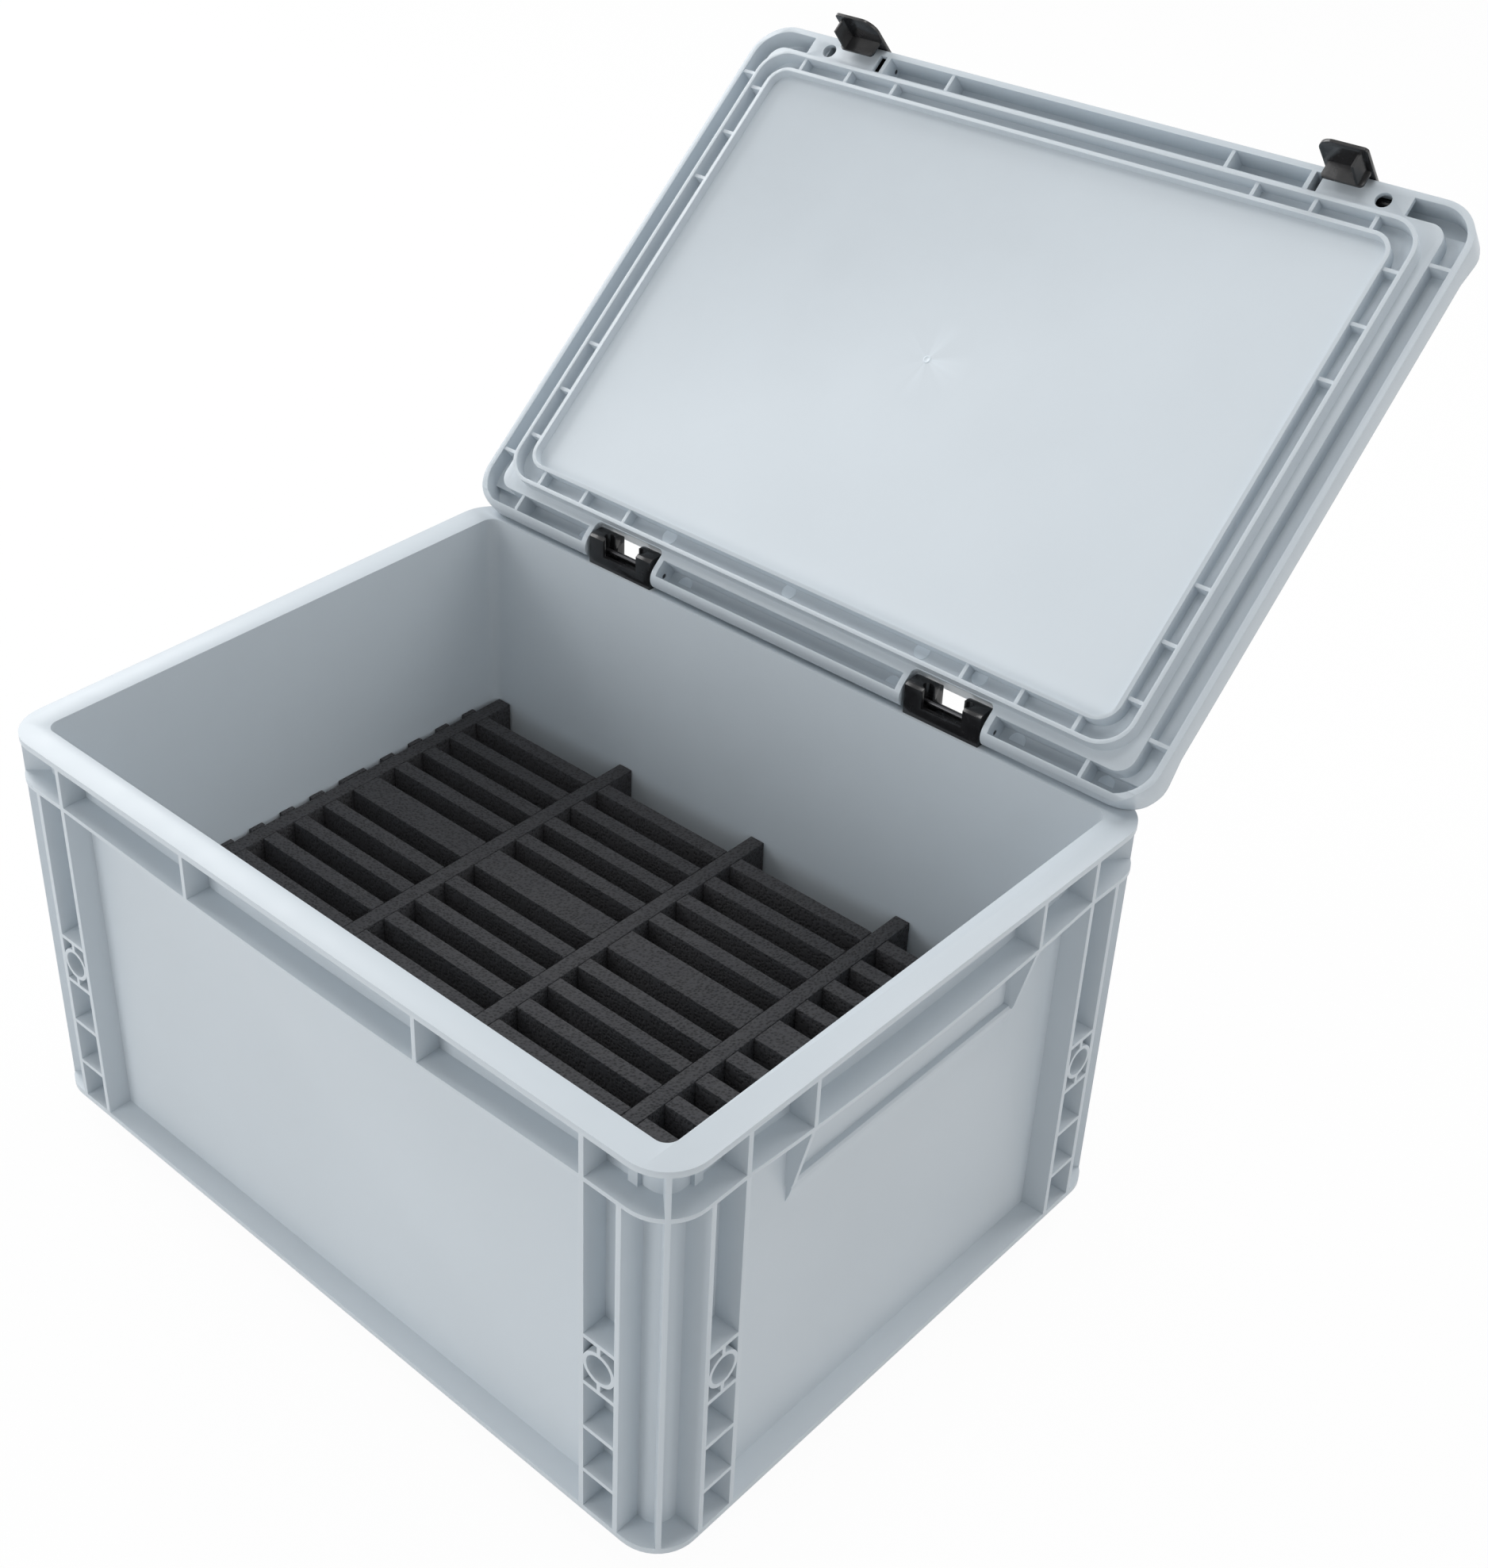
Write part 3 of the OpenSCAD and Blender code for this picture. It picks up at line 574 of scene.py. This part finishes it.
@dataclass
class EjectorMarks:
    """Round marks that ejector pins leave, a thin burr around a slightly raised disc.

    One Geometry Nodes tree sets them all on points.
    """

    name: str
    places: List[Vector]
    facing: Turn
    radius: float = 3.7 * MM
    proud: float = 0.12 * MM
    burr: float = 0.2 * MM
    vary: float = 0.05
    seed: int = 7
    rim_points: int = 40
    burr_points: int = 8
    sharp_degrees: float = 50.0

    def build(self, material: bpy.types.Material) -> bpy.types.Object:
        """Makes the marks.

        Args:
            material: Their finish.

        Returns:
            One plain mesh at the origin.
        """
        mesh = bpy.data.meshes.new(self.name)
        mesh.from_pydata([tuple(place) for place in self.places], [], [])
        piece = new_piece(self.name, mesh)
        modifier = piece.modifiers.new("marks", "NODES")
        modifier.node_group = self.tree()
        values = {
            "Radius": self.radius,
            "Proud": self.proud,
            "Burr": self.burr,
            "Smallest": 1.0 - self.vary,
            "Largest": 1.0 + self.vary,
            "Facing": self.facing,
            "Seed": self.seed,
            "Material": material,
        }
        for socket in modifier.node_group.interface.items_tree:
            if socket.in_out == "INPUT" and socket.name in values:
                modifier[socket.identifier] = values[socket.name]
        settle(piece)
        smooth_by_angle(piece.data, self.sharp_degrees)
        return piece

    def tree(self) -> bpy.types.NodeTree:
        """Lays out the tree of the marks.

        Returns:
            The tree, with one named input for each size.
        """
        tree = bpy.data.node_groups.new(f"{self.name}_tree", "GeometryNodeTree")
        kinds = {
            "Geometry": "Geometry",
            "Radius": "Float",
            "Proud": "Float",
            "Burr": "Float",
            "Smallest": "Float",
            "Largest": "Float",
            "Facing": "Vector",
            "Seed": "Int",
            "Material": "Material",
        }
        for label, kind in kinds.items():
            tree.interface.new_socket(label, in_out="INPUT", socket_type=f"NodeSocket{kind}")
        tree.interface.new_socket("Geometry", in_out="OUTPUT", socket_type="NodeSocketGeometry")
        given = add_node(tree, "NodeGroupInput").outputs
        mark = self.mark(tree, given)
        size = add_node(tree, "FunctionNodeRandomValue", {
            RANDOM_LEAST: given["Smallest"],
            RANDOM_MOST: given["Largest"],
            "Seed": given["Seed"],
        }, data_type="FLOAT").outputs[RANDOM_RESULT]
        points = add_node(tree, "GeometryNodeMeshToPoints", {"Mesh": given["Geometry"]})
        placed = add_node(tree, "GeometryNodeInstanceOnPoints", {
            "Points": points.outputs[0],
            "Instance": mark,
            "Rotation": given["Facing"],
            "Scale": size,
        })
        real = add_node(tree, "GeometryNodeRealizeInstances", {"Geometry": placed.outputs[0]})
        done = add_node(tree, "GeometryNodeSetMaterial", {
            "Geometry": real.outputs[0],
            "Material": given["Material"],
        })
        add_node(tree, "NodeGroupOutput", {"Geometry": done.outputs[0]})
        return tree

    def mark(self, tree: bpy.types.NodeTree, given: bpy.types.NodeOutputs) -> Socket:
        """Lays out one mark, the raised disc first and then its burr.

        Args:
            tree: The tree that is being laid out.
            given: The tree's named inputs.

        Returns:
            The mark's geometry, facing +Z.
        """
        circle = "GeometryNodeCurvePrimitiveCircle"
        rim = add_node(tree, circle, {"Resolution": self.rim_points, "Radius": given["Radius"]}).outputs[0]
        wire = add_node(tree, circle, {"Resolution": self.burr_points, "Radius": given["Burr"]}).outputs[0]
        burr = add_node(tree, "GeometryNodeCurveToMesh", {"Curve": rim, "Profile Curve": wire})
        disc = add_node(tree, "GeometryNodeFillCurve", {"Curve": rim})
        lift = add_node(tree, "ShaderNodeCombineXYZ", {"Z": given["Proud"]})
        raised = add_node(tree, "GeometryNodeTransform", {
            "Geometry": disc.outputs[0],
            "Translation": lift.outputs[0],
        })
        both = add_node(tree, "GeometryNodeJoinGeometry")
        tree.links.new(raised.outputs[0], both.inputs[0])
        tree.links.new(burr.outputs[0], both.inputs[0])
        return both.outputs[0]


@dataclass
class GateStub:
    """The small ring-shaped scar at the gate, turned from a profile.

    The profile's points are radius and height, in millimetres.
    """

    name: str
    place: Vector
    facing: Turn
    profile: Sequence[Tuple[float, float]] = (
        (2.0, 0.0), (1.9, 0.18), (1.6, 0.3), (1.25, 0.24), (1.1, 0.08), (0.0, 0.1))
    steps: int = 32
    sharp_degrees: float = 50.0

    def build(self) -> bpy.types.Object:
        """Turns the profile round its axis and stands it on the lid.

        Returns:
            A plain mesh at the origin.
        """
        work = bmesh.new()
        chain = [work.verts.new((radius * MM, 0.0, height * MM)) for radius, height in self.profile]
        edges = [work.edges.new(pair) for pair in zip(chain, chain[1:])]
        bmesh.ops.spin(
            work, geom=chain + edges, angle=2 * math.pi, steps=self.steps, axis=(0, 0, 1), cent=(0, 0, 0))
        bmesh.ops.remove_doubles(work, verts=work.verts, dist=MERGE_DISTANCE)
        seat = Matrix.Translation(self.place) @ Matrix.Rotation(self.facing[0], 4, "X")
        bmesh.ops.transform(work, matrix=seat, verts=work.verts)
        bmesh.ops.recalc_face_normals(work, faces=work.faces)
        mesh = bpy.data.meshes.new(self.name)
        work.to_mesh(mesh)
        work.free()
        smooth_by_angle(mesh, self.sharp_degrees)
        return new_piece(self.name, mesh)


# ---- the object ----


@dataclass
class Container:
    """The moulded container."""

    edge: float = 0.35 * MM
    plastic: MouldedPlastic = MouldedPlastic("container_plastic")

    def build(self) -> List[bpy.types.Object]:
        """Makes and dresses the container.

        Returns:
            Its one piece.
        """
        shell = SoftEdgedCopy("container", "container_shell", self.edge).build()
        dress(shell, self.plastic.build(), "container")
        return [shell]


@dataclass
class Lid:
    """The lid, with the marks of its mould on the underside.

    Marks are places of the shut lid, to the right and behind the middle, in millimetres. Those
    in pairs lie at both ends, on the roof of the rear channel, at rear_roof above the lip. The
    gate's third number is its height above the lip.
    """

    edge: float = 0.35 * MM
    under: LidFrame = field(default_factory=LidFrame.from_solids)
    rear_roof: float = 12.5
    rear_pairs: Sequence[Tuple[float, float]] = ((63.0, 141.5), (130.7, 141.2), (175.9, 141.3))
    lip_marks: Sequence[Tuple[float, float]] = (
        (106.0, 125.3), (74.7, 125.2), (-1.7, 125.9), (-76.7, 125.7))
    gate: Tuple[float, float, float] = (-2.0, -2.0, -3.0)
    # The marks' finish is the lid's plastic made this much lighter: a painted sheen standing in for the
    # light that the smoother marks catch.
    painted_sheen_tint: float = 1.28
    pressed_roughness: Span = (0.3, 0.38)

    def build(self) -> List[bpy.types.Object]:
        """Makes and dresses the lid.

        Returns:
            The moulding, its ejector marks and its gate scar.
        """
        gate = self.under.place(*self.gate)
        plastic = MouldedPlastic("lid_plastic", star=GateStar(tuple(gate))).build()
        # Painted sheen: the ejector marks and the gate scar get a lighter copy of the lid's plastic, with
        # a real, smoother roughness.
        painted_sheen_colour = shade(MouldedPlastic.colour, self.painted_sheen_tint)
        sheen_painted_plastic = MouldedPlastic("lid_mark_plastic_painted_sheen", painted_sheen_colour, self.pressed_roughness).build()
        shell = SoftEdgedCopy("lid", "lid_shell", self.edge).build()
        marks = EjectorMarks("lid_ejector_marks", self.mark_places(), self.under.facing).build(sheen_painted_plastic)
        scar = GateStub("lid_gate_scar", gate, self.under.facing).build()
        for piece, finish in ((shell, plastic), (marks, sheen_painted_plastic), (scar, sheen_painted_plastic)):
            dress(piece, finish, "lid")
        return [shell, marks, scar]

    def mark_places(self) -> List[Vector]:
        """Finds where the ejector pins stood.

        Returns:
            Places on the open lid: those in the rear channel, then those level with the lip.
        """
        rear = [
            self.under.place(side.value * right, behind, self.rear_roof)
            for side in Side for right, behind in self.rear_pairs
        ]
        return rear + [self.under.place(right, behind, 0.0) for right, behind in self.lip_marks]


@dataclass
class Fittings:
    """Hinge blocks, latches and their pins."""

    edge: float = 0.3 * MM
    clip: GlossClip = GlossClip()
    wire: DrawnSteel = DrawnSteel()

    def build(self) -> List[bpy.types.Object]:
        """Makes the black mouldings of both sides and gives the pins their finish.

        Returns:
            The mouldings. The pins are the solids themselves.
        """
        black = self.clip.build()
        steel = self.wire.build()
        made = []
        for side in Side:
            for kind, body in (("hinge_block", "container"), ("latch", f"latch_{side.word}")):
                node = f"{kind}_{side.word}"
                piece = SoftEdgedCopy(node, f"{node}_moulding", self.edge).build()
                dress(piece, black, body)
                made.append(piece)
            for kind in ("hinge_pin", "latch_pin"):
                slots = frame["nodes"][f"{kind}_{side.word}"].data.materials
                slots.clear()
                slots.append(steel)
        return made


@dataclass
class FoamInsert:
    """The pad and the slotted strips."""

    edge: float = 0.4 * MM
    foam: CellFoam = CellFoam()

    def build(self) -> List[bpy.types.Object]:
        """Makes and dresses the foam.

        Returns:
            The pad and the strips.
        """
        foam = self.foam.build()
        made = []
        for name in sorted(frame["nodes"]):
            if "strip" not in name and name != "insert_base_pad":
                continue
            piece = SoftEdgedCopy(name, f"foam_{name}", self.edge).build()
            dress(piece, foam, "container")
            made.append(piece)
        return made


# ---- studio ----


def aimed(place: Point, aim: Point) -> Matrix:
    """Works out how a camera or lamp is placed.

    Args:
        place: Where it stands or hangs.
        aim: The point that it faces.

    Returns:
        Its world matrix, with -Z towards the point and Y up.
    """
    look = (Vector(aim) - Vector(place)).to_track_quat("-Z", "Y")
    return Matrix.Translation(place) @ look.to_matrix().to_4x4()


@dataclass
class PhotoCamera:
    """Camera at the photograph's viewpoint."""

    place: Point = (0.55279, -0.55305, 0.76333)
    aim: Point = (-0.11202, 0.13255, 0.15)
    roll_degrees: float = 0.154
    focal_px: float = 2800.0
    centre_px: Tuple[float, float] = (744.1, 867.7)
    image_px: Tuple[int, int] = (1876, 1977)
    sensor_mm: float = 36.0
    far_clip: float = 50.0

    def build(self) -> bpy.types.Object:
        """Makes the camera and sets it as the scene's own.

        Returns:
            The camera.
        """
        wide, tall = self.image_px
        data = bpy.data.cameras.new("photo_camera")
        data.sensor_width = self.sensor_mm
        data.lens = self.focal_px * self.sensor_mm / tall
        data.shift_x = (wide / 2 - self.centre_px[0]) / tall
        data.shift_y = (self.centre_px[1] - tall / 2) / tall
        data.clip_end = self.far_clip
        camera = new_piece("photo_camera", data)
        roll = Matrix.Rotation(math.radians(self.roll_degrees), 4, "Z")
        camera.matrix_world = aimed(self.place, self.aim) @ roll
        bpy.context.scene.camera = camera
        return camera


@dataclass(frozen=True)
class SoftLamp:
    """One soft square lamp: its place, the length of its side and its power in watts."""

    name: str
    place: Point
    side: float
    watts: float

    def build(self, aim: Point) -> None:
        """Hangs the lamp.

        Args:
            aim: The point that it faces.
        """
        data = bpy.data.lights.new(self.name, "AREA")
        data.size = self.side
        data.energy = self.watts
        piece = new_piece(self.name, data)
        piece.visible_camera = False
        piece.matrix_world = aimed(self.place, aim)


@dataclass
class Studio:
    """Pale floor, soft lamps and an even world."""

    floor_size: float = 14.0
    floor_paper: Colour = (0.9, 0.9, 0.9)
    floor_glow: float = 0.96
    world_light: float = 0.28
    aim: Point = (0.0, 0.05, 0.15)
    lamps: Sequence[SoftLamp] = (
        SoftLamp("left", (-2.0, 0.2, 1.4), 1.6, 33.0),
        SoftLamp("back", (0.3, 1.6, 2.2), 1.6, 25.0),
        SoftLamp("top", (-0.1, -0.3, 2.6), 0.6, 7.2),
        SoftLamp("front", (-0.6, -2.1, 0.5), 1.2, 17.5),
        SoftLamp("right", (2.1, 0.2, 1.0), 1.6, 10.0),
    )

    def build(self) -> None:
        """Makes the floor, the world and the lamps."""
        self.floor()
        self.world()
        for lamp in self.lamps:
            lamp.build(self.aim)

    def floor(self) -> None:
        """Makes the floor, which looks near white and keeps the object's shadow."""
        half = self.floor_size / 2
        corners = [(-half, -half, 0), (half, -half, 0), (half, half, 0), (-half, half, 0)]
        mesh = bpy.data.meshes.new("floor")
        mesh.from_pydata(corners, [], [(0, 1, 2, 3)])
        piece = new_piece("floor", mesh)
        sketch = NodeSketch(bpy.data.materials.new("floor_paper"))
        share = sketch.times(sketch.direct_rays(), self.floor_glow)
        paper = sketch.add("ShaderNodeBsdfDiffuse", {"Color": with_alpha(self.floor_paper)})
        glow = sketch.add("ShaderNodeEmission", {"Color": with_alpha(WHITE), "Strength": 1.0})
        mix = sketch.add("ShaderNodeMixShader", {0: share, 1: paper.outputs[0], 2: glow.outputs[0]})
        piece.data.materials.append(sketch.finish(mix.outputs[0]))

    def world(self) -> None:
        """Makes an even world, which rays that show the background see as white."""
        sketch = NodeSketch(bpy.data.worlds.new("studio_world"))
        level = sketch.spread(sketch.direct_rays(), WHOLE, (self.world_light, 1.0))
        light = sketch.add("ShaderNodeBackground", {"Color": with_alpha(WHITE), "Strength": level})
        bpy.context.scene.world = sketch.finish(light.outputs[0], "ShaderNodeOutputWorld")


def main() -> None:
    """Builds the object and its studio in order."""
    logging.basicConfig(level=logging.INFO, format="%(name)s: %(message)s")
    bpy.context.scene.view_settings.view_transform = "Standard"
    PhotoCamera().build()
    Studio().build()
    for assembly in (Container(), Lid(), Fittings(), FoamInsert()):
        for piece in assembly.build():
            log.info("%s: %s, %d faces", type(assembly).__name__, piece.name, len(piece.data.polygons))


if __name__ == "__main__":
    main()
